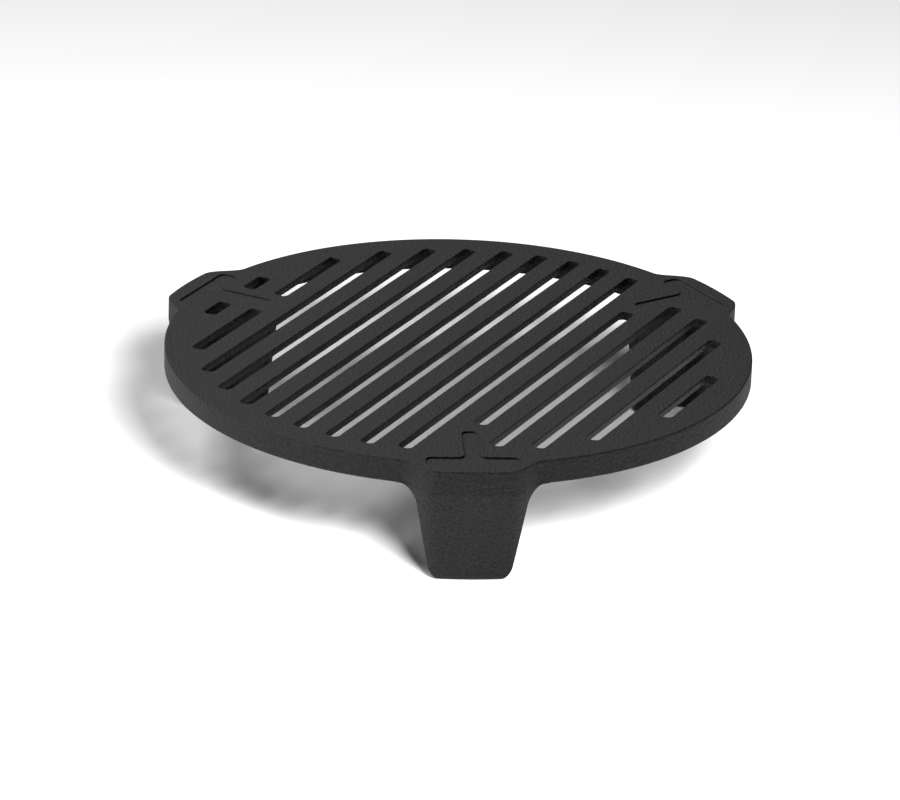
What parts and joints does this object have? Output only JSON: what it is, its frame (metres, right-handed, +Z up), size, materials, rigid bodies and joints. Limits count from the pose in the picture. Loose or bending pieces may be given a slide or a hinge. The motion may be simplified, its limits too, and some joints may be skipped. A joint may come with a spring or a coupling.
{
  "type": "hibachi grill grate",
  "caption": "Round slotted cast-iron cooking grate with a deeper rim, standing on short legs under lugs with shallow T-shaped recesses.",
  "frame": {"origin": "middle of the bounding box's underside, at the height of the feet; the disc's own axis stands 4.5 mm towards -Y from it", "axes": "+Z up out of the cooking face; the slots run along X; +Y points to the rear lug and leg; X=0 is the plane of mirror symmetry"},
  "size_m": [0.24, 0.249, 0.049],
  "materials": {
    "plate_iron": "matt black, fine sand-cast grain",
    "leg_iron": "matt black, fine sand-cast grain"
  },
  "bodies": {
    "root": {"grate_plate": "plate_iron", "leg_rear": "leg_iron", "leg_front_left": "leg_iron", "leg_front_right": "leg_iron"}
  },
  "joints": []
}
